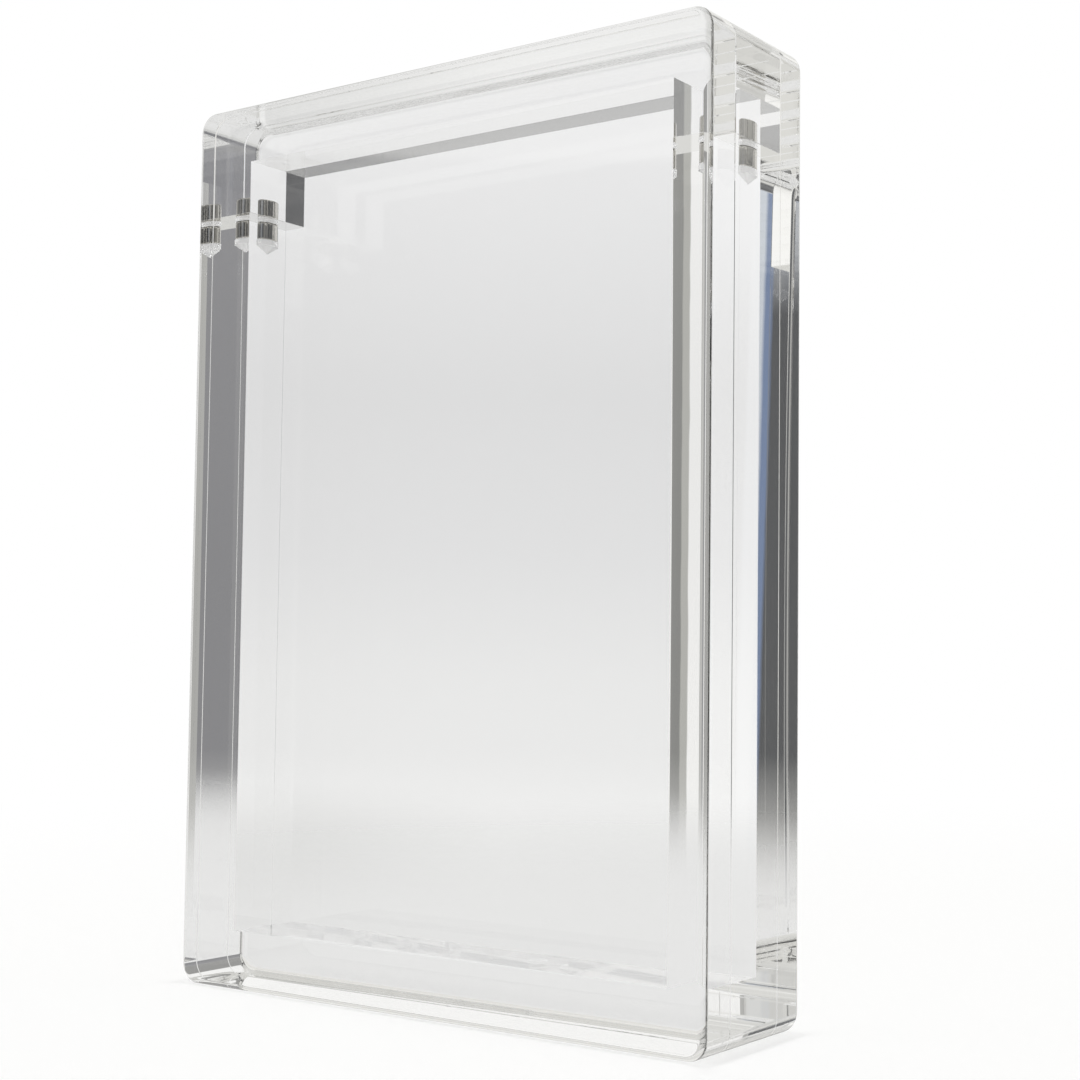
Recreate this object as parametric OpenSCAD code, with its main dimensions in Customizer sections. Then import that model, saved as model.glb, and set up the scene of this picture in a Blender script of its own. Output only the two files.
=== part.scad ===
// A clear display case for one trading card in its holder, cut from three thick sheets of acrylic.
// The front and the back panel are bonded to a U-shaped frame between them.
// A cap, also U-shaped but upside down, closes the top of the card pocket and lifts straight up.
// A pair of small disc magnets in each side wall holds the cap down.
// The origin is on the table, under the middle of the case. The front faces -Y and the cap lifts along +Z.

/* [Case] */
// Width of the case
case_w = 109; // [95:1:130]
// Height of the case with the cap seated
case_h = 158; // [130:1:190]
// Radius of the four corners, seen from the front
corner_r = 3.5; // [2.5:0.5:9]

/* [Sheets] */
// Thickness of the front panel
front_panel_t = 7.5; // [5:0.5:12]
// Thickness of the back panel
back_panel_t = 7.5; // [5:0.5:12]
// Thickness of the middle sheet, which is the depth of the card pocket
middle_t = 14.5; // [10:0.5:20]
// Radius of the polished edge round each panel's outer face
edge_r = 1.2; // [0.6:0.1:2]

/* [Card pocket] */
// Width of the middle sheet's two side walls
side_wall = 9.25; // [8:0.25:12]
// Height of the middle sheet's floor, under the pocket
floor_h = 9.5; // [7:0.5:14]
// Height of the cap's top bar, over the pocket
top_bar_h = 9; // [7:0.5:12]

/* [Cap] */
// Length of the cap's two legs, below its top bar
cap_leg_h = 9.5; // [8:0.5:20]
// Gap between the cap and each panel, for a free slide
cap_slide_gap = 0.15; // [0.1:0.05:0.3]
// Air film between the cap's legs and the walls that they stand on
cap_seat_gap = 0.1; // [0.05:0.05:0.3]

/* [Magnets] */
// Diameter of a disc magnet
magnet_d = 4.75; // [3:0.25:5]
// Height of a disc magnet
magnet_h = 3.2; // [2:0.1:4]
// Depth of a magnet's face below the mouth of its pocket
magnet_recess = 0.5; // [0.1:0.1:0.8]
// Gap round a magnet in its drilled pocket
pocket_gap = 0.15; // [0.05:0.05:0.25]
// Drilled depth left behind a frame magnet
frame_pocket_spare = 1; // [0.3:0.1:2]
// Drilled depth left behind a cap magnet
cap_pocket_spare = 0.3; // [0.3:0.1:2]
// Point angle of the drill
drill_point_angle = 118; // [90:1:140]

/* [Hidden] */
$fn = 64;
quarter_turn = 90;
// How far a cut runs past the face that it opens
cut_over = 1;

// Where the middle sheet meets each panel
front_joint_y = -middle_t / 2;
back_joint_y = middle_t / 2;
// The straight stretches between the corners, half the one across and all of the upright one
span_x = case_w / 2 - corner_r;
span_z = case_h - 2 * corner_r;
edge_round = min(edge_r, front_panel_t / 3, back_panel_t / 3, corner_r / 2);
// The card pocket, and the level at which the cap parts from the frame
pocket_w = case_w - 2 * side_wall;
pocket_top_z = case_h - top_bar_h;
split_z = pocket_top_z - cap_leg_h;
cap_bottom_z = split_z + cap_seat_gap;
cap_t = middle_t - 2 * cap_slide_gap;
// The magnets stand in the middle of each wall
magnet_x = (case_w - side_wall) / 2;
pocket_r = magnet_d / 2 + pocket_gap;
drill_point_h = pocket_r / tan(drill_point_angle / 2);

// The case's outline as a sheet with square edges, from y = 0 to y = thickness.
module sheet(thickness) {
    translate([-span_x, 0, 0])
        cube([2 * span_x, thickness, case_h]);
    translate([-case_w / 2, 0, corner_r])
        cube([case_w, thickness, span_z]);
    for (x = [-span_x, span_x], z = [corner_r, corner_r + span_z])
        translate([x, 0, z])
            rotate([-quarter_turn, 0, 0])
                cylinder(r = corner_r, h = thickness);
}

// The section of a panel's rim: a strip as wide as the corner radius, with its outer top edge rounded.
module rim_section(thickness) {
    union() {
        square([corner_r, thickness - edge_round]);
        square([corner_r - edge_round, thickness]);
        translate([corner_r - edge_round, thickness - edge_round])
            circle(r = edge_round);
    }
}

// One straight stretch of a panel's rim, its length along Y, reach away from the panel's middle.
module rim_bar(thickness, reach, length) {
    translate([reach, length / 2, 0])
        rotate([quarter_turn, 0, 0])
            linear_extrude(length)
                rim_section(thickness);
}

// A panel that stands with its square inner face on y = 0 and its rounded outer face on y = -thickness.
module panel(thickness) {
    translate([0, 0, case_h / 2])
        rotate([quarter_turn, 0, 0]) {
            translate([-span_x, -span_z / 2, 0])
                cube([2 * span_x, span_z, thickness]);
            for (turn = [0, 2])
                rotate(turn * quarter_turn)
                    rim_bar(thickness, span_x, span_z);
            for (turn = [1, 3])
                rotate(turn * quarter_turn)
                    rim_bar(thickness, span_z / 2, 2 * span_x);
            for (corner = [[1, 1, 0], [-1, 1, 1], [-1, -1, 2], [1, -1, 3]])
                translate([corner.x * span_x, corner.y * span_z / 2, 0])
                    rotate(corner.z * quarter_turn)
                        rotate_extrude(angle = quarter_turn)
                            rim_section(thickness);
        }
}

// A drilled magnet pocket with its mouth on z = 0, going down.
module magnet_pocket(spare) {
    depth = magnet_recess + magnet_h + spare;
    translate([0, 0, -depth])
        cylinder(r = pocket_r, h = depth + cut_over);
    translate([0, 0, -depth - drill_point_h])
        cylinder(r1 = 0, r2 = pocket_r, h = drill_point_h);
}

// A disc magnet with its lower face on z = 0.
module magnet(side, z) {
    color("silver")
        translate([side * magnet_x, 0, z])
            cylinder(d = magnet_d, h = magnet_h);
}

module front_panel() {
    color("lightcyan", 0.4)
        translate([0, front_joint_y, 0])
            panel(front_panel_t);
}

module back_panel() {
    color("lightcyan", 0.4)
        translate([0, back_joint_y, 0])
            mirror([0, 1, 0])
                panel(back_panel_t);
}

// The middle sheet's two walls and floor, in one piece, with a magnet pocket in the top of each wall.
module frame() {
    color("lightblue", 0.5)
        difference() {
            translate([0, front_joint_y, 0])
                sheet(middle_t);
            translate([-pocket_w / 2, front_joint_y - cut_over, floor_h])
                cube([pocket_w, middle_t + 2 * cut_over, case_h]);
            translate([-case_w, front_joint_y - cut_over, split_z])
                cube([2 * case_w, middle_t + 2 * cut_over, case_h]);
            for (side = [-1, 1])
                translate([side * magnet_x, 0, split_z])
                    magnet_pocket(frame_pocket_spare);
        }
}

// The top of the middle sheet: a bar over the pocket and a short leg on each wall of the frame.
module top_cap() {
    color("lightblue", 0.5)
        difference() {
            translate([0, -cap_t / 2, 0])
                sheet(cap_t);
            translate([-case_w, -middle_t, cap_bottom_z - case_h])
                cube([2 * case_w, 2 * middle_t, case_h]);
            translate([-pocket_w / 2, -middle_t, pocket_top_z - case_h])
                cube([pocket_w, 2 * middle_t, case_h]);
            for (side = [-1, 1])
                translate([side * magnet_x, 0, cap_bottom_z])
                    mirror([0, 0, 1])
                        magnet_pocket(cap_pocket_spare);
        }
}

module frame_magnet_left() {
    magnet(-1, split_z - magnet_recess - magnet_h);
}

module frame_magnet_right() {
    magnet(1, split_z - magnet_recess - magnet_h);
}

module cap_magnet_left() {
    magnet(-1, cap_bottom_z + magnet_recess);
}

module cap_magnet_right() {
    magnet(1, cap_bottom_z + magnet_recess);
}

front_panel();
back_panel();
frame();
top_cap();
frame_magnet_left();
frame_magnet_right();
cap_magnet_left();
cap_magnet_right();
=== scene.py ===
# %% [markdown]
# # A clear display case for one trading card
# The real thing is three thick sheets of cast acrylic. The front and back sheets are bonded to a U-shaped
# frame, and a loose cap closes the top. Four small nickel-plated discs hold the cap down.
# A clear thing has no colour of its own: what the eye sees is the room, bent and folded by flat, polished
# faces. So this lesson spends its effort on true faces and true joints, and on a surrounding of shades that
# was set one by one.

# %% Load the solid model
import math

import bpy
from mathutils import Matrix, Vector, geometry


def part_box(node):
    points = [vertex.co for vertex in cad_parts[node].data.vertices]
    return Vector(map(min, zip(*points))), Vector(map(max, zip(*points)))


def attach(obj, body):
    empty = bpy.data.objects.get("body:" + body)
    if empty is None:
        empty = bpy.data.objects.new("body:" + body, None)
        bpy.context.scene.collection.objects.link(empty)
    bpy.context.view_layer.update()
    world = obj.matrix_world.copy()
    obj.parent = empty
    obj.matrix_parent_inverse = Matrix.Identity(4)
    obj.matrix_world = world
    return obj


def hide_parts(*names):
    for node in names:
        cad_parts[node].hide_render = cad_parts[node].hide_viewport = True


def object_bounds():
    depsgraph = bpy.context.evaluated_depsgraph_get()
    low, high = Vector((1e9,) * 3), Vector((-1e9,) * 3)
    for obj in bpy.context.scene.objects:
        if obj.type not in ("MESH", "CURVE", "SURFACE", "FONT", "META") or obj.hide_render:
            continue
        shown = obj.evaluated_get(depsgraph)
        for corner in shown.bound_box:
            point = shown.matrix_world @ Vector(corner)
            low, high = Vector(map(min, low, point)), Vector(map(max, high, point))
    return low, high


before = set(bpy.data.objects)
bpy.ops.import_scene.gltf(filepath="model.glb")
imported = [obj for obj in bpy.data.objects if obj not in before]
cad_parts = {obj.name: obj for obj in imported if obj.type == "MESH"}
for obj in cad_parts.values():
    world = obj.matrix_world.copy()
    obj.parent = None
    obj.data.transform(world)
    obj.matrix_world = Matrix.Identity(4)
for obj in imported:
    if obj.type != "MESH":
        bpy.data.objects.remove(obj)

cad_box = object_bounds()

# %% [markdown]
# ## Sizes
# Every length is in metres, and most of them are easier to read in millimetres. The outer sizes come from
# the solid model, so that the dressed case can't drift from it. The rest repeat that model's own numbers.

# %% Sizes of the case
MM = 0.001
panel_lo, panel_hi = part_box("front_panel")
cap_lo, cap_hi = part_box("top_cap")
frame_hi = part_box("frame")[1]
HALF_WIDTH = panel_hi.x
HEIGHT = panel_hi.z
CORNER = 3.5 * MM
EDGE_ROUND = 1.2 * MM
WALL = 9.25 * MM
FLOOR = 9.5 * MM
TOP_BAR = 9 * MM
POCKET_X = HALF_WIDTH - WALL
PARTING = frame_hi.z
print("case", round(2 * HALF_WIDTH / MM, 2), "x", round(HEIGHT / MM, 2), "mm")
print("parting at", round(PARTING / MM, 2), "mm")

# %% [markdown]
# ## The outline
# Seen from the front every sheet has the same outline: a rectangle with four round corners. It could be a
# bevelled cube, but a bevel gives no say over the shading. Here each point of the outline carries its own
# outward direction, so a polished round can be shaded exactly, and the flat faces stay perfectly flat.
# Two more points mark the level at which the cap parts from the frame.

# %% Points of the outline
ARC_STEPS = 20


def corner_arc(side, end, inset, start):
    """A quarter circle round one corner, counter-clockwise as seen from the front."""
    centre_x = side * (HALF_WIDTH - CORNER)
    centre_z = HEIGHT - CORNER if end > 0 else CORNER
    arc = []
    for step in range(ARC_STEPS + 1):
        turn = math.radians(start + 90 * step / ARC_STEPS)
        away = (math.cos(turn), math.sin(turn))
        arc.append((centre_x + (CORNER - inset) * away[0], centre_z + (CORNER - inset) * away[1], *away))
    return arc


def upper_outline(inset, level):
    """From the right side at one level, over the top, to the left side at the same level."""
    start = [(HALF_WIDTH - inset, level, 1, 0)]
    end = [(inset - HALF_WIDTH, level, -1, 0)]
    return start + corner_arc(1, 1, inset, 0) + corner_arc(-1, 1, inset, 90) + end


def lower_outline(inset, level):
    """From the left side at one level, round the bottom, to the right side at the same level."""
    start = [(inset - HALF_WIDTH, level, -1, 0)]
    end = [(HALF_WIDTH - inset, level, 1, 0)]
    return start + corner_arc(-1, -1, inset, 180) + corner_arc(1, -1, inset, 270) + end


print("outline of", len(upper_outline(0, PARTING)) + len(lower_outline(0, PARTING)) - 2, "points")

# %% [markdown]
# ## Building closed shells
# A clear solid has to be closed, with its faces pointing outwards, or light bends the wrong way in it.
# So a small class collects points and faces. A wall between two rings is shaded smooth with the directions
# that its points carry, and every other face is shaded flat. The directions go in as custom normals.

# %% A shell that collects points and faces


class Shell:
    """Points and faces of one closed piece. A face knows its material and its shading directions."""

    def __init__(self):
        self.points = []
        self.faces = []

    def ring(self, outline, y):
        """Adds an outline at depth y. Returns (number, outward direction) for each point."""
        first = len(self.points)
        self.points += [Vector((x, y, z)) for x, z, _, _ in outline]
        return [(first + i, Vector((p[2], 0, p[3]))) for i, p in enumerate(outline)]

    def point(self, x, y, z):
        self.points.append(Vector((x, y, z)))
        return len(self.points) - 1

    def wall(self, ring, other, tilt, other_tilt, finish, closed=True):
        """Joins two rings. A tilt turns the shading towards +Y, from 0 on the side to 90 degrees."""
        stop = len(ring) if closed else len(ring) - 1
        for i in range(stop):
            j = (i + 1) % len(ring)
            corners = [(ring[i], tilt), (ring[j], tilt), (other[j], other_tilt), (other[i], other_tilt)]
            shading = [
                out * math.cos(math.radians(turn)) + Vector((0, math.sin(math.radians(turn)), 0))
                for (_, out), turn in corners
            ]
            self.face([number for (number, _), _ in corners], finish, sum(shading, Vector()), shading)

    def face(self, numbers, finish, towards, shading=None):
        """Adds one face, turned so that it looks towards a direction."""
        corners = [self.points[n] for n in numbers]
        normal = geometry.normal(corners)
        if normal.dot(towards) < 0:
            numbers = numbers[::-1]
            shading = shading and shading[::-1]
            normal = -normal
        self.faces.append((numbers, finish, shading or [normal] * len(numbers)))

    def fill(self, loops, finish, towards):
        """Fills a flat region with holes: the first loop is its edge, and the others are the holes."""
        numbers = [n for loop in loops for n in loop]
        for triangle in geometry.tessellate_polygon([[self.points[n] for n in loop] for loop in loops]):
            self.face([numbers[t] for t in triangle], finish, towards)

    def make(self, name, materials):
        """Turns the shell into an object at the origin."""
        mesh = bpy.data.meshes.new(name)
        mesh.from_pydata(self.points, [], [numbers for numbers, _, _ in self.faces])
        for material in materials:
            mesh.materials.append(material)
        for polygon, (_, finish, _) in zip(mesh.polygons, self.faces):
            polygon.material_index = finish
            polygon.use_smooth = True
        mesh.normals_split_custom_set([direction for _, _, shading in self.faces for direction in shading])
        piece = bpy.data.objects.new(name, mesh)
        bpy.context.scene.collection.objects.link(piece)
        return piece


# %% [markdown]
# ## Colour and node helpers
# Colours are written as the hex values that a screen shows, and one function turns them to the linear
# values that the renderer counts in. One more function adds a node with its settings and its links.

# %% Colour and node helpers


def linear(hex_colour):
    """An sRGB hex colour as linear RGBA."""
    parts = [int(hex_colour[i : i + 2], 16) / 255 for i in (1, 3, 5)]
    return (*[p / 12.92 if p <= 0.04045 else ((p + 0.055) / 1.055) ** 2.4 for p in parts], 1)


def add_node(tree, kind, settings=(), **inputs):
    """Adds a node. A value for an input is either a number, a colour or another node's output."""
    node = tree.nodes.new(kind)
    for setting, value in dict(settings).items():
        setattr(node, setting, value)
    for name, value in inputs.items():
        key = int(name[1:]) if name[0] == "_" and name[1:].isdigit() else name.replace("_", " ")
        if isinstance(value, bpy.types.NodeSocket):
            tree.links.new(value, node.inputs[key])
        else:
            node.inputs[key].default_value = value
    return node


print("white is", [round(c, 3) for c in linear("#FFFFFF")], "and middle grey", round(linear("#808080")[0], 3))

# %% [markdown]
# ## Cast acrylic
# The sheets are cast acrylic, PMMA, with an IOR of 1.49. Its faces are as cast, as flat and glossy as
# glass. Its edges are milled and then polished, which leaves a slight ripple that the eye reads as a soft
# waver in the bright lines. The drilled pockets keep the drill's fine rings and look frosted.

# %% Acrylic finishes
ACRYLIC_IOR = 1.49


def acrylic(name, roughness, ripple=None, clear=1.0):
    """Clear acrylic. The ripple is (size in mm, height in mm), of a polished edge's waver."""
    material = bpy.data.materials.new(name)
    material.use_nodes = True
    tree = material.node_tree
    shader = tree.nodes["Principled BSDF"]
    shader.inputs["Base Color"].default_value = linear("#FFFFFF")
    shader.inputs["Roughness"].default_value = roughness
    shader.inputs["IOR"].default_value = ACRYLIC_IOR
    shader.inputs["Transmission Weight"].default_value = clear
    if ripple:
        size, height = ripple[0] * MM, ripple[1] * MM
        spot = add_node(tree, "ShaderNodeTexCoord").outputs["Object"]
        waver = add_node(tree, "ShaderNodeTexNoise", Vector=spot, Scale=1 / size, Detail=1.0)
        bump = add_node(tree, "ShaderNodeBump", Height=waver.outputs[0], Distance=height, Strength=1.0)
        tree.links.new(bump.outputs[0], shader.inputs["Normal"])
    return material


cast_face = acrylic("Acrylic, cast face", 0.0)
polished_edge = acrylic("Acrylic, milled and polished edge", 0.0, (9, 0.0008))
polished_round = acrylic("Acrylic, hand-polished round", 0.0, (5, 0.003))
drilled_pocket = acrylic("Acrylic, drilled pocket", 0.5, (0.5, 0.01), 0.4)
held_past = math.degrees(math.asin(1 / ACRYLIC_IOR))
print("IOR", ACRYLIC_IOR, "so light inside is held past", round(held_past, 1), "degrees")

# %% [markdown]
# ## The bonded joint
# Solvent cement melts the two faces into one, so light crosses the joint as if it weren't there. Two glass
# faces laid together would act as an air gap and mirror the light. So the faces of a bonded joint get a
# plain transparent shader, which passes light straight on, and only the outer faces bend it.

# %% The bonded joint
bonded_joint = bpy.data.materials.new("Acrylic, solvent-bonded joint")
bonded_joint.use_nodes = True
joint_tree = bonded_joint.node_tree
joint_tree.nodes.remove(joint_tree.nodes["Principled BSDF"])
clear_pass = add_node(joint_tree, "ShaderNodeBsdfTransparent")
joint_tree.links.new(clear_pass.outputs[0], joint_tree.nodes["Material Output"].inputs["Surface"])

FACE, EDGE, JOINT, POCKET, ROUND = range(5)
finishes = [cast_face, polished_edge, bonded_joint, drilled_pocket, polished_round]
print("finishes:", [finish.name for finish in finishes])

# %% [markdown]
# ## Front and back panels
# Each panel is a rounded slab. Its outer face has a small polished round, made from rings that step along
# a quarter circle. Its inner face is bonded to the frame on a U-shaped strip and bare over the card pocket
# and behind the cap, so that face is split in two along the frame's edge.

# %% Front and back panels
BROKEN_EDGE = 0.1 * MM
ROUND_STEPS = 10


def whole_outline(inset):
    return upper_outline(inset, PARTING) + lower_outline(inset, PARTING)[1:-1]


def rounded_panel(name, inner_y, outer_y):
    """A panel with its bonded face at inner_y and its rounded face at outer_y."""
    out = 1 if outer_y > inner_y else -1
    shell = Shell()
    inner = shell.ring(whole_outline(BROKEN_EDGE), inner_y)
    before, tilt_before = shell.ring(whole_outline(0), inner_y + out * BROKEN_EDGE), 0
    shell.wall(inner, before, -45 * out, -45 * out, EDGE)
    for step in range(ROUND_STEPS + 1):
        turn = math.radians(90 * step / ROUND_STEPS)
        inset = EDGE_ROUND * (1 - math.cos(turn))
        ring = shell.ring(whole_outline(inset), outer_y - out * EDGE_ROUND * (1 - math.sin(turn)))
        tilt = out * math.degrees(turn)
        shell.wall(before, ring, tilt_before, tilt, ROUND if step else EDGE)
        before, tilt_before = ring, tilt
    shell.face([n for n, _ in before], FACE, Vector((0, out, 0)))
    rim = [n for n, _ in inner]
    upper = rim[: len(upper_outline(0, PARTING))]
    lower = [upper[-1]] + rim[len(upper) :] + [upper[0]]
    cut = [(-POCKET_X, PARTING), (-POCKET_X, FLOOR), (POCKET_X, FLOOR), (POCKET_X, PARTING)]
    cut = [shell.point(x, inner_y, z) for x, z in cut]
    shell.face(upper + cut, FACE, Vector((0, -out, 0)))
    shell.face(lower + cut[::-1], JOINT, Vector((0, -out, 0)))
    return shell.make(name, finishes)


front_clear = rounded_panel("front_panel_clear", panel_hi.y, panel_lo.y)
back_clear = rounded_panel("back_panel_clear", frame_hi.y, cad_box[1].y)
for panel, node in ((front_clear, "front_panel"), (back_clear, "back_panel")):
    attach(panel, "case")
    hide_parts(node)
    print(panel.name, len(panel.data.polygons), "faces")

# %% [markdown]
# ## The frame and the cap
# Both are cut from the middle sheet: a U, and the same shape upside down that closes it. Each end of a leg
# has a magnet in a drilled pocket. Clear glue is taken to fill the pocket round the magnet. It would wet
# the acrylic and hide the pocket's wall, so no wall is made there. That glue is a guess. What stays is the
# shallow mouth, and in the frame the frosted air space that the drill leaves behind the magnet, with its
# cone. The same function makes both pieces, because they differ only in which way they face. The cap's wide
# faces are bare, as air lies between it and the panels, while the frame's are bonded.

# %% Frame and cap
magnet_lo, magnet_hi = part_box("frame_magnet_right")
MAGNET_X = HALF_WIDTH - WALL / 2
MAGNET_RADIUS = (magnet_hi.x - magnet_lo.x) / 2
MAGNET_HEIGHT = magnet_hi.z - magnet_lo.z
POCKET_GAP = 0.15 * MM
POCKET_RADIUS = MAGNET_RADIUS + POCKET_GAP
RECESS = PARTING - magnet_hi.z
GLUE_FILM = 0.02 * MM
HOLE_STEPS = 48
SPARE_DEPTH = 1 * MM
DRILL_POINT_ANGLE = 118
DRILL_POINT = POCKET_RADIUS / math.tan(math.radians(DRILL_POINT_ANGLE / 2))


def hole_loop(shell, x, z):
    """A circle of points round a pocket's axis. Returns (number, direction away from the acrylic)."""
    loop = []
    for step in range(HOLE_STEPS):
        turn = math.tau * step / HOLE_STEPS
        number = shell.point(x + POCKET_RADIUS * math.cos(turn), POCKET_RADIUS * math.sin(turn), z)
        loop.append((number, Vector((-math.cos(turn), -math.sin(turn), 0))))
    return loop


def hole_wall(shell, loop, other):
    for i in range(HOLE_STEPS):
        j = (i + 1) % HOLE_STEPS
        quad = [loop[i], loop[j], other[j], other[i]]
        shading = [out for _, out in quad]
        shell.face([n for n, _ in quad], POCKET, shading[0] + shading[1], shading)


def pocket_mouth(shell, x, mouth, into):
    """The open end of a pocket, down to the glue film over the magnet. Returns the loop of its rim."""
    rim = hole_loop(shell, x, mouth)
    film = hole_loop(shell, x, mouth + into * (RECESS - GLUE_FILM))
    hole_wall(shell, rim, film)
    shell.face([n for n, _ in film], FACE, Vector((0, 0, -into)))
    return [n for n, _ in rim]


def drill_space(shell, x, top, depth):
    """The closed air space behind a magnet: a short bore and the cone of the drill's point."""
    upper = hole_loop(shell, x, top - GLUE_FILM)
    lower = hole_loop(shell, x, top - depth)
    tip = shell.point(x, 0, top - depth - DRILL_POINT)
    shell.face([n for n, _ in upper], POCKET, Vector((0, 0, -1)))
    hole_wall(shell, upper, lower)
    for i in range(HOLE_STEPS):
        j = (i + 1) % HOLE_STEPS
        shell.face([lower[i][0], lower[j][0], tip], POCKET, Vector((0, 0, 1)) + lower[i][1])


def middle_sheet(name, mouth, bar_z, half_depth, wide_face):
    """The frame or the cap. The legs end at mouth, and the pocket's side of its bar is at bar_z."""
    up = 1 if bar_z > mouth else -1
    chain = upper_outline if up > 0 else lower_outline
    shell = Shell()
    near_edge = half_depth - BROKEN_EDGE
    stations = ((-half_depth, BROKEN_EDGE), (-near_edge, 0), (near_edge, 0), (half_depth, BROKEN_EDGE))
    outer = [shell.ring(chain(inset, mouth), y) for y, inset in stations]
    corners = [(-up, mouth), (-up, bar_z), (up, bar_z), (up, mouth)]
    inner = [[shell.point(side * POCKET_X, y, z) for side, z in corners] for y in (-half_depth, half_depth)]
    for i, tilt in enumerate((-45, 0, 45)):
        shell.wall(outer[i], outer[i + 1], tilt, tilt, EDGE, closed=False)
    for i, towards in enumerate((Vector((up, 0, 0)), Vector((0, 0, -up)), Vector((-up, 0, 0)))):
        shell.face([inner[0][i], inner[0][i + 1], inner[1][i + 1], inner[1][i]], EDGE, towards)
    for loop, leg, towards in ((outer[0], inner[0], -1), (outer[3], inner[1], 1)):
        shell.face([n for n, _ in loop] + leg, wide_face, Vector((0, towards, 0)))
    for end, corner, side in ((0, 3, up), (-1, 0, -up)):
        rim = [ring[end][0] for ring in outer] + [inner[1][corner], inner[0][corner]]
        hole = pocket_mouth(shell, side * MAGNET_X, mouth, up)
        shell.fill([rim, hole], EDGE, Vector((0, 0, -up)))
        if up < 0:
            drill_space(shell, side * MAGNET_X, magnet_lo.z, SPARE_DEPTH)
    return shell.make(name, finishes)


frame_clear = middle_sheet("frame_clear", PARTING, FLOOR, frame_hi.y, JOINT)
cap_clear = middle_sheet("cap_clear", cap_lo.z, HEIGHT - TOP_BAR, cap_hi.y, FACE)
for piece, node, body, slot in (
    (frame_clear, "frame", "case", "frame_acrylic"),
    (cap_clear, "top_cap", "cap", "cap_acrylic"),
):
    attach(piece, body)
    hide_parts(node)
    print(piece.name, len(piece.data.polygons), "faces")

# %% [markdown]
# ## The magnets
# Small discs of a neodymium magnet, plated with nickel. Bright nickel is a warm grey mirror, and barrel
# plating leaves it faintly pebbled. A tumbled disc has a rounded rim. One disc is turned from its profile,
# and Geometry Nodes set a pair of them at the width of the case, one pair for each body.

# %% Nickel plating
PEBBLE_SIZE = 0.6 * MM
PEBBLE_HEIGHT = 0.002 * MM
nickel = bpy.data.materials.new("Nickel, barrel plated")
nickel.use_nodes = True
nickel_tree = nickel.node_tree
nickel_shader = nickel_tree.nodes["Principled BSDF"]
nickel_shader.inputs["Base Color"].default_value = linear("#CFCDC8")
nickel_shader.inputs["Metallic"].default_value = 1
nickel_shader.inputs["Roughness"].default_value = 0.04
nickel_spot = add_node(nickel_tree, "ShaderNodeTexCoord").outputs["Object"]
pebbles = add_node(nickel_tree, "ShaderNodeTexNoise", Vector=nickel_spot, Scale=1 / PEBBLE_SIZE, Detail=3.0)
pebble_bump = add_node(
    nickel_tree, "ShaderNodeBump", Height=pebbles.outputs[0], Distance=PEBBLE_HEIGHT, Strength=1.0
)
nickel_tree.links.new(pebble_bump.outputs[0], nickel_shader.inputs["Normal"])
print(nickel.name, "with pebbles of", round(PEBBLE_SIZE / MM, 2), "mm")

# %% One disc, turned from its profile
RIM_ROUND = 0.25 * MM
RIM_STEPS = 5
DISC_STEPS = 64


def disc_profile():
    """Radius, height and shading tilt, from the middle of the lower face to the middle of the upper one."""
    reach = MAGNET_RADIUS - RIM_ROUND
    low = []
    for step in range(RIM_STEPS + 1):
        turned = 90 * step / RIM_STEPS
        turn = math.radians(turned)
        low.append((reach + RIM_ROUND * math.sin(turn), RIM_ROUND * (1 - math.cos(turn)), turned - 90))
    high = [(radius, MAGNET_HEIGHT - z, -tilt) for radius, z, tilt in low[::-1]]
    return low + high


def turned_disc(name):
    shell = Shell()
    rows = []
    for radius, z, tilt in disc_profile():
        row = []
        for step in range(DISC_STEPS):
            turn = math.tau * step / DISC_STEPS
            out = Vector((math.cos(turn), math.sin(turn), 0))
            shading = out * math.cos(math.radians(tilt)) + Vector((0, 0, math.sin(math.radians(tilt))))
            row.append((shell.point(radius * out.x, radius * out.y, z), shading))
        rows.append(row)
    for low, high in zip(rows, rows[1:]):
        for i in range(DISC_STEPS):
            j = (i + 1) % DISC_STEPS
            quad = [low[i], low[j], high[j], high[i]]
            shading = [direction for _, direction in quad]
            shell.face([n for n, _ in quad], 0, sum(shading, Vector()), shading)
    shell.face([n for n, _ in rows[0]], 0, Vector((0, 0, -1)))
    shell.face([n for n, _ in rows[-1]], 0, Vector((0, 0, 1)))
    return shell.make(name, [nickel])


disc = turned_disc("one_magnet")
print("disc of", len(disc.data.polygons), "faces")

# %% A node tree that sets discs in a row
ROW_INPUTS = {
    "Disc": "NodeSocketObject",
    "Number": "NodeSocketInt",
    "Spacing": "NodeSocketFloat",
    "Height": "NodeSocketFloat",
    "Plating": "NodeSocketMaterial",
}


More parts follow.
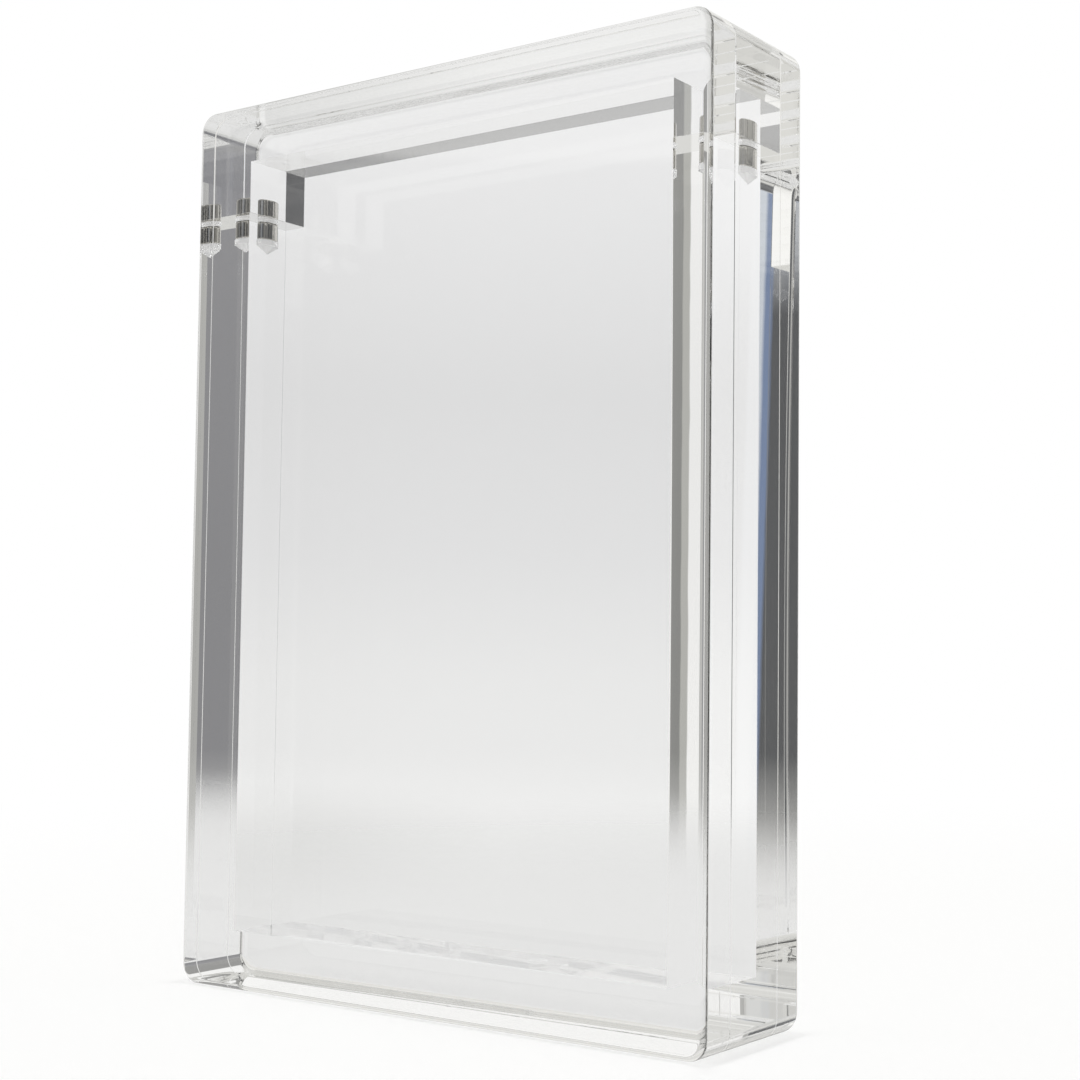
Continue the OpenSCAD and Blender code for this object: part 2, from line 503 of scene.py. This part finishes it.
def row_tree():
    """Sets a number of discs in a row along X, a spacing apart, at a height."""
    tree = bpy.data.node_groups.new("Discs in a row", "GeometryNodeTree")
    for name, kind in ROW_INPUTS.items():
        tree.interface.new_socket(name, in_out="INPUT", socket_type=kind)
    tree.interface.new_socket("Geometry", in_out="OUTPUT", socket_type="NodeSocketGeometry")
    given = add_node(tree, "NodeGroupInput")
    half = add_node(tree, "ShaderNodeMath", {"operation": "MULTIPLY"}, _0=given.outputs["Spacing"], _1=-0.5)
    start = add_node(tree, "ShaderNodeCombineXYZ", X=half.outputs[0], Z=given.outputs["Height"])
    step = add_node(tree, "ShaderNodeCombineXYZ", X=given.outputs["Spacing"])
    number = given.outputs["Number"]
    row = add_node(
        tree, "GeometryNodeMeshLine", Count=number, Start_Location=start.outputs[0], Offset=step.outputs[0]
    )
    source = add_node(tree, "GeometryNodeObjectInfo", Object=given.outputs["Disc"]).outputs["Geometry"]
    discs = add_node(tree, "GeometryNodeInstanceOnPoints", Points=row.outputs[0], Instance=source)
    real = add_node(tree, "GeometryNodeRealizeInstances", Geometry=discs.outputs[0])
    plated = add_node(
        tree, "GeometryNodeSetMaterial", Geometry=real.outputs[0], Material=given.outputs["Plating"]
    )
    add_node(tree, "NodeGroupOutput", Geometry=plated.outputs[0])
    return tree


discs_in_a_row = row_tree()


def magnet_pair(name, height):
    """A pair of discs as a plain mesh, from the node tree."""
    holder = bpy.data.objects.new(name, bpy.data.meshes.new(name))
    bpy.context.scene.collection.objects.link(holder)
    modifier = holder.modifiers.new("Discs", "NODES")
    modifier.node_group = discs_in_a_row
    given = {"Disc": disc, "Number": 2, "Spacing": 2 * MAGNET_X, "Height": height, "Plating": nickel}
    for item in discs_in_a_row.interface.items_tree:
        if item.in_out == "INPUT":
            modifier[item.identifier] = given[item.name]
    shown = holder.evaluated_get(bpy.context.evaluated_depsgraph_get())
    mesh = bpy.data.meshes.new_from_object(shown)
    holder.modifiers.clear()
    holder.data = mesh
    mesh.name = name
    return holder


frame_pair = magnet_pair("frame_magnets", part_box("frame_magnet_left")[0].z)
cap_pair = magnet_pair("cap_magnets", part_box("cap_magnet_left")[0].z)
for pair, body, base in ((frame_pair, "case", "frame_magnet"), (cap_pair, "cap", "cap_magnet")):
    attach(pair, body)
    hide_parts(base + "_left", base + "_right")
    print(pair.name, len(pair.data.polygons), "faces")
bpy.data.objects.remove(disc)

# %% [markdown]
# ## The table
# A plain pale table top. The camera sees it white, as in a product photograph, and it keeps the case's soft
# shadow. For every other ray it fades out a short way from the case, so that the room shows past it in the
# polished walls. A real top ends at an edge, and the fade stands in for that.

# %% The table
TABLE_HALF = 3
TABLE_Z = -0.02 * MM
table_corners = [(x * TABLE_HALF, y * TABLE_HALF, TABLE_Z) for x, y in ((-1, -1), (1, -1), (1, 1), (-1, 1))]
table_mesh = bpy.data.meshes.new("table")
table_mesh.from_pydata(table_corners, [], [(0, 1, 2, 3)])
table = bpy.data.objects.new("table", table_mesh)
bpy.context.scene.collection.objects.link(table)
print("table top at", round(TABLE_Z / MM, 3), "mm")

# %% Its white laminate
SEEN_GLOW = 0.19
laminate = bpy.data.materials.new("Table top, matt white laminate")
laminate.use_nodes = True
top_tree = laminate.node_tree
laminate_shader = top_tree.nodes["Principled BSDF"]
laminate_shader.inputs["Base Color"].default_value = linear("#EDEDEC")
laminate_shader.inputs["Roughness"].default_value = 0.9
laminate_shader.inputs["Specular IOR Level"].default_value = 0.0
laminate_shader.inputs["Emission Color"].default_value = linear("#FFFFFF")
seen_directly = add_node(top_tree, "ShaderNodeLightPath").outputs["Is Camera Ray"]
lift = add_node(top_tree, "ShaderNodeMapRange", Value=seen_directly, To_Min=0.0, To_Max=SEEN_GLOW)
top_tree.links.new(lift.outputs[0], laminate_shader.inputs["Emission Strength"])

# %% Where it ends
TOP_MIDDLE = (0.09, 0.07, 0)
FADE_FROM, FADE_TO = 0.12, 0.48
top_spot = add_node(top_tree, "ShaderNodeTexCoord").outputs["Object"]
distance = {"operation": "DISTANCE"}
away = add_node(top_tree, "ShaderNodeVectorMath", distance, _0=top_spot, _1=TOP_MIDDLE).outputs["Value"]
smooth = {"interpolation_type": "SMOOTHSTEP"}
beyond = add_node(top_tree, "ShaderNodeMapRange", smooth, Value=away, From_Min=FADE_FROM, From_Max=FADE_TO)
white = add_node(top_tree, "ShaderNodeEmission", Color=linear("#FFFFFF"), Strength=1.0).outputs[0]
open_air = add_node(top_tree, "ShaderNodeBsdfTransparent").outputs[0]
past_edge = add_node(top_tree, "ShaderNodeMixShader", _0=seen_directly, _1=open_air, _2=white).outputs[0]
table_look = add_node(
    top_tree, "ShaderNodeMixShader", _0=beyond.outputs[0], _1=laminate_shader.outputs[0], _2=past_edge
)
top_tree.links.new(table_look.outputs[0], top_tree.nodes["Material Output"].inputs["Surface"])
table_mesh.materials.append(laminate)

# %% [markdown]
# ## The room
# Clear things are lit by what they mirror, and bands of light and dark in the walls make acrylic look thick.
# An image of a real room could give them, but here the room is only a set of shades by direction. They were
# set for one view, render by render, until the bands fell as in the photograph, so they are no
# record of a real room. The room also answers by how a ray came to it, which no real room does: light that
# comes straight through sees a pale backdrop whatever way it goes, light that was mirrored sees the grey
# room, and light that was mirrored many times is evened out. That suits this case in this view, and another
# object needs its own.

# %% Which way a ray leaves
world = bpy.data.worlds.new("Quiet room with a white backdrop")
bpy.context.scene.world = world
world.use_nodes = True
world.cycles.sampling_method = "NONE"
room_tree = world.node_tree
room_tree.nodes.clear()
path = add_node(room_tree, "ShaderNodeLightPath")
mirrors = path.outputs["Glossy Depth"]
look = add_node(room_tree, "ShaderNodeTexCoord")
aim_x, aim_y, aim_z = add_node(room_tree, "ShaderNodeSeparateXYZ", Vector=look.outputs["Generated"]).outputs
bearing = add_node(room_tree, "ShaderNodeMath", {"operation": "ARCTAN2"}, _0=aim_x, _1=aim_y)
rise = add_node(room_tree, "ShaderNodeMath", {"operation": "ARCSINE"}, _0=aim_z)
# Degrees to the right of +Y, and degrees above the level.
azimuth = add_node(room_tree, "ShaderNodeMath", {"operation": "DEGREES"}, _0=bearing.outputs[0]).outputs[0]
elevation = add_node(room_tree, "ShaderNodeMath", {"operation": "DEGREES"}, _0=rise.outputs[0]).outputs[0]

# %% Painting the room in layers
TIMES = {"operation": "MULTIPLY"}
TIMES_AND_ADD = {"operation": "MULTIPLY_ADD"}


def shades(angle, limit, *stops):
    """A colour ramp over an angle from -limit to limit. Its stops are (degrees, shade)."""
    share = add_node(room_tree, "ShaderNodeMapRange", Value=angle, From_Min=-limit, From_Max=limit)
    ramp = add_node(room_tree, "ShaderNodeValToRGB", Fac=share.outputs[0])
    elements = ramp.color_ramp.elements
    while len(elements) < len(stops):
        elements.new(1.0)
    for element, (degrees, _) in zip(elements, stops):
        element.position = (degrees + limit) / (2 * limit)
    for element, (_, shade) in zip(elements, stops):
        element.color = linear(shade)
    return ramp.outputs[0]


def layer(below, shade, *fades, strength=1.0, kind="MIX"):
    """Lays a shade over what is below.

    Each fade is (measure, start, end), from nothing at start to all at end. Its edges are as sharp as
    they are written, which a colour ramp can't do: that has only 256 steps.
    """
    share = strength
    for measure, start, end in fades:
        inside = add_node(room_tree, "ShaderNodeMapRange", Value=measure, From_Min=start, From_Max=end)
        both = add_node(room_tree, "ShaderNodeMath", TIMES, _0=inside.outputs[0], _1=share)
        share = both.outputs[0]
    above = linear(shade) if isinstance(shade, str) else shade
    settings = {"data_type": "RGBA", "blend_type": kind}
    return add_node(room_tree, "ShaderNodeMix", settings, _0=share, _6=below, _7=above).outputs[2]


# %% The backdrop
# It dips a little over the middle of the case, and falls off at the lower left.
backdrop = shades(
    elevation, 90,
    (-90, "#EEEEEC"), (-17.2, "#EEEEEC"), (-15, "#E6E6E5"), (-10, "#EEEEED"), (-8, "#F2F2F1"),
    (-5, "#FAFAF9"), (-1, "#F8F8F7"), (3, "#EFEFEF"), (8, "#EBEBEB"), (15, "#F8F8F8"), (90, "#F8F8F8"),
)
backdrop = layer(backdrop, "#DCDCDB", (elevation, -4, -7), (azimuth, -37, -43), kind="MULTIPLY")
# Mirrored light finds it brighter, most of all up on the left.
bright_backdrop = layer(backdrop, "#FFFFFF", strength=0.5)
bright_backdrop = layer(bright_backdrop, "#FFFFFF", (azimuth, 10, -20), (elevation, 0, 8), strength=0.9)

# %% The walls
walls = shades(
    azimuth, 180,
    (-180, "#26282C"), (-152, "#1E2228"), (-148, "#505256"), (-142, "#646568"), (-134, "#686868"),
    (-90, "#A0A09F"), (-66, "#B4B4B2"), (-48, "#BCBCBA"), (-20, "#BCBCBA"), (20, "#929290"), (32, "#929290"),
    (33.4, "#D8D8D6"), (42.6, "#D0D0CE"), (44.2, "#9A9A9D"), (47.5, "#9A9A9D"), (54, "#55575B"),
    (90, "#34373C"), (136, "#34373C"), (142, "#B4B4B2"), (152, "#B4B4B2"), (158, "#34373C"), (180, "#26282C"),
)
fall = shades(
    elevation, 90,
    (-90, "#EEEEEE"), (3, "#EEEEEE"), (9, "#F4F4F4"), (15, "#FFFFFF"), (90, "#FFFFFF"),
)
walls = layer(walls, fall, kind="MULTIPLY")
walls = layer(walls, "#A8ACB4", (elevation, 10.4, 13), (azimuth, -149, -150))
# A pale strip and a blue one, which lean a little, were drawn in for the blue fringe of the side face.
SLANT = 0.027
slant = add_node(room_tree, "ShaderNodeMath", TIMES_AND_ADD, _0=elevation, _1=SLANT, _2=azimuth)
lean = slant.outputs[0]
walls = layer(walls, "#C8CFDA", (lean, -151.0, -150.88), (lean, -150.28, -150.4))
walls = layer(walls, "#62789F", (lean, -151.08, -150.98), (lean, -150.74, -150.84))
high_walls = shades(
    azimuth, 180,
    (-180, "#B0B0AE"), (-146, "#A0A0A0"), (-139, "#A2A2A1"), (-120, "#C8C8C6"), (-50, "#C8C8C6"),
    (20, "#969695"), (50, "#969695"), (70, "#C0C0BE"), (180, "#B8B8B6"),
)
walls = layer(walls, high_walls, (elevation, 14.9, 15.2))
# A narrow mid-grey strip where the backdrop ends on the right.
walls = layer(walls, "#BABAB6", (azimuth, 31.2, 31.24), (azimuth, 31.46, 31.42))

# %% Floor, backdrop and ceiling together
FLOOR_SHADE = "#DEDEDC"
walls = layer(walls, FLOOR_SHADE, (elevation, -3, -8), (azimuth, 58, 54))
walls = layer(walls, FLOOR_SHADE, (elevation, -12, -18))
room = layer(walls, bright_backdrop, (azimuth, -46.1, -46.06), (azimuth, 31.24, 31.2))
room = layer(room, "#969695", (elevation, 17, 20), (azimuth, 20, 22), (azimuth, 62, 60))
room = layer(room, "#F2F2F0", (elevation, 46, 62))

# %% Paths that were mirrored many times
# This is a short cut, and not how light behaves. From four mirrorings on, a path brings almost the same grey
# whatever its direction, which calms the corners. Level paths with eight or more are left out of that, and
# darkened in two directions, because they draw the dark bands of the side face.
LEVEL_AND_LONG = ((mirrors, 7, 8), (elevation, -12, -11), (elevation, 16.5, 15.5))
room = layer(room, "#34373C", *LEVEL_AND_LONG, (azimuth, -64, -63), (azimuth, -49, -50))
room = layer(room, "#34373C", *LEVEL_AND_LONG, (azimuth, 100, 104))
evened = layer(room, "#D8D8D6", (mirrors, 3, 4), strength=0.85)
room = layer(evened, room, *LEVEL_AND_LONG)

# %% Straw tint of a long path
# A long path in cast acrylic turns light faintly straw-coloured. Here that is counted in mirrorings and not
# in length: each one takes a little green and more blue.
GREEN_KEPT, BLUE_KEPT = 0.9995, 0.9975
green = add_node(room_tree, "ShaderNodeMath", {"operation": "POWER"}, _0=GREEN_KEPT, _1=mirrors)
blue = add_node(room_tree, "ShaderNodeMath", {"operation": "POWER"}, _0=BLUE_KEPT, _1=mirrors)
straw = add_node(room_tree, "ShaderNodeCombineColor", Red=1.0, Green=green.outputs[0], Blue=blue.outputs[0])
tinted_room = layer(room, straw.outputs[0], kind="MULTIPLY")

# %% What each kind of ray sees
# Light that was bent by two faces at most is set a little darker and warmer. That was matched to the
# photograph, and isn't worked out from the acrylic.
over = {"operation": "GREATER_THAN"}
mirrored = add_node(room_tree, "ShaderNodeMath", over, _0=mirrors, _1=0.5).outputs[0]
scattered = add_node(room_tree, "ShaderNodeMath", over, _0=path.outputs["Diffuse Depth"], _1=0.5).outputs[0]
faces_crossed = path.outputs["Transmission Depth"]
solid = add_node(room_tree, "ShaderNodeMath", {"operation": "LESS_THAN"}, _0=faces_crossed, _1=2.5)
LESS_IF_MIRRORED = 0.6
share = add_node(room_tree, "ShaderNodeMath", TIMES_AND_ADD, _0=mirrored, _1=-LESS_IF_MIRRORED, _2=1.0)
darker = add_node(room_tree, "ShaderNodeMath", TIMES, _0=solid.outputs[0], _1=share.outputs[0])
seen = layer(backdrop, tinted_room, strength=mirrored)
seen = layer(seen, "#F2F1ED", strength=darker.outputs[0], kind="MULTIPLY")
seen = layer(seen, "#F8F8F8", strength=scattered)
seen = layer(seen, "#FFFFFF", strength=path.outputs["Is Camera Ray"])
sky = add_node(room_tree, "ShaderNodeBackground", Color=seen, Strength=1.0)
add_node(room_tree, "ShaderNodeOutputWorld", Surface=sky.outputs[0])
print("room of", len(room_tree.nodes), "nodes")

# %% [markdown]
# ## Light paths
# A ray may be folded a dozen times between polished walls before it leaves. The usual limit would end it
# early and paint the walls black, so the limits go up. Light that reaches the table through the polished
# faces must not be blurred on its way either, or the ground under the case goes dark.

# %% Longer light paths
cycles = bpy.context.scene.cycles
cycles.max_bounces = 40
cycles.transmission_bounces = 40
cycles.glossy_bounces = 40
cycles.transparent_max_bounces = 80
cycles.blur_glossy = 0
print("a ray may bounce", cycles.max_bounces, "times")

# %% [markdown]
# ## The camera
# The photograph was taken from low down and to the right, looking slightly up. The place, the turn and the
# lens were fitted to the case's outline and edges, at the size that the solid model has.

# %% The camera
CAMERA_AT = Vector((194.65, -251.38, 59.60)) * MM
YAW, PITCH, ROLL = map(math.radians, (35.796, 3.495, 0.689))
SENSOR_WIDTH = 36
FOCAL_LENGTH = 61.90
forward = Vector((-math.sin(YAW) * math.cos(PITCH), math.cos(YAW) * math.cos(PITCH), math.sin(PITCH)))
level = Vector((math.cos(YAW), math.sin(YAW), 0))
upright = level.cross(forward)
right = math.cos(ROLL) * level + math.sin(ROLL) * upright
up = math.cos(ROLL) * upright - math.sin(ROLL) * level
camera_data = bpy.data.cameras.new("camera")
camera_data.sensor_width = SENSOR_WIDTH
camera_data.lens = FOCAL_LENGTH
camera = bpy.data.objects.new("camera", camera_data)
bpy.context.scene.collection.objects.link(camera)
camera.matrix_world = Matrix.Translation(CAMERA_AT) @ Matrix((right, up, -forward)).transposed().to_4x4()
camera_data.clip_start = 0.01
camera_data.clip_end = 20
bpy.context.scene.camera = camera
bpy.context.scene.view_settings.view_transform = "Standard"
print("camera", round(CAMERA_AT.length / MM), "mm from the origin")
